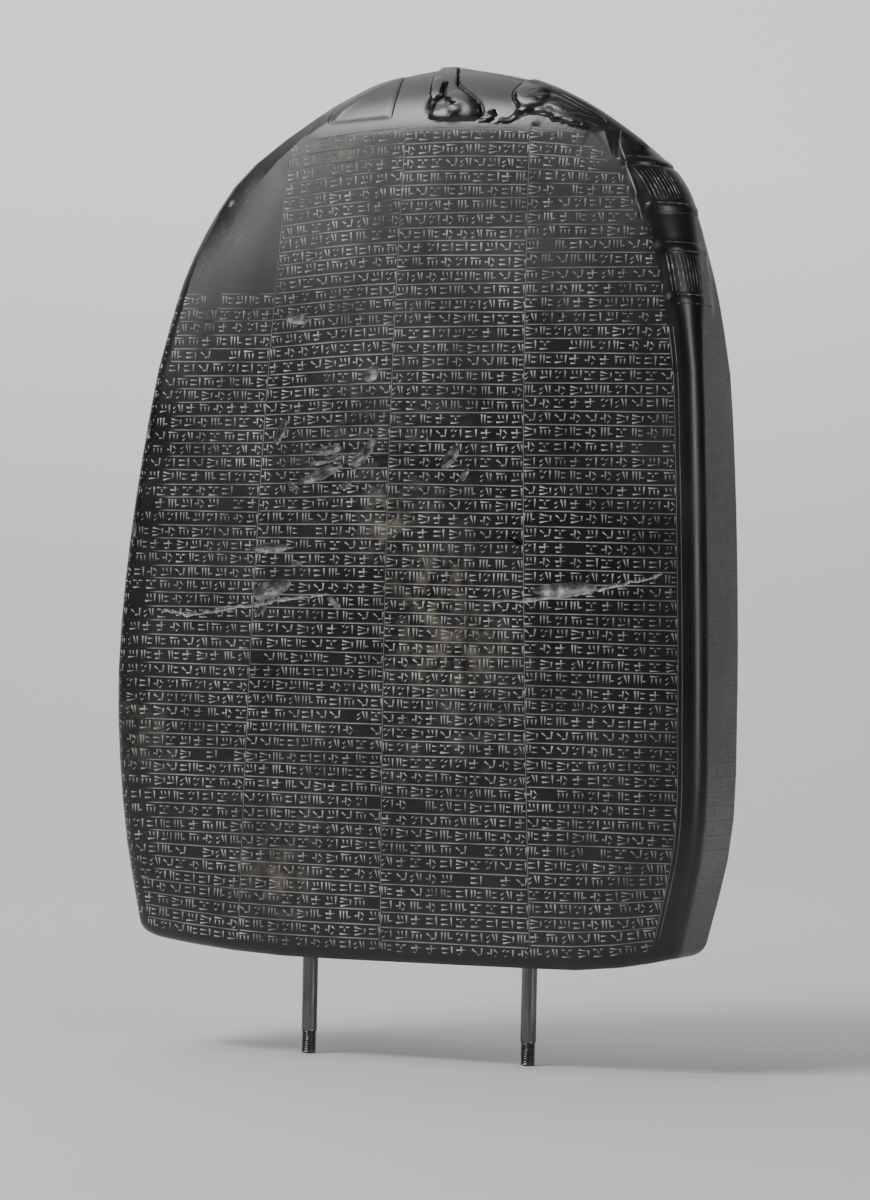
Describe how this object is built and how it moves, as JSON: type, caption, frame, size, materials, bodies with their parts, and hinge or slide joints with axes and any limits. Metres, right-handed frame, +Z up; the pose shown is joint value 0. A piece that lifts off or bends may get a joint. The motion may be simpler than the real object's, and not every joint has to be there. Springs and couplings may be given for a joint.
{
  "type": "carved stone stele",
  "caption": "Round-topped black stone stele with ruled rows of shallow strokes and relief figures over the top, held up by two threaded studs in its underside.",
  "frame": {"origin": "the flat middle of the stone's underside, halfway between the two studs", "axes": "+Z up through the stone, -Y out of the inscribed front face, +X to the front's right"},
  "size_m": [0.32, 0.078, 0.5082],
  "materials": {
    "stone": "polished black stone with dusty strokes and chips",
    "steel": "bright turned steel"
  },
  "bodies": {
    "root": {"stone_stele": "stone", "left_mounting_stud": "steel", "right_mounting_stud": "steel"}
  },
  "joints": []
}
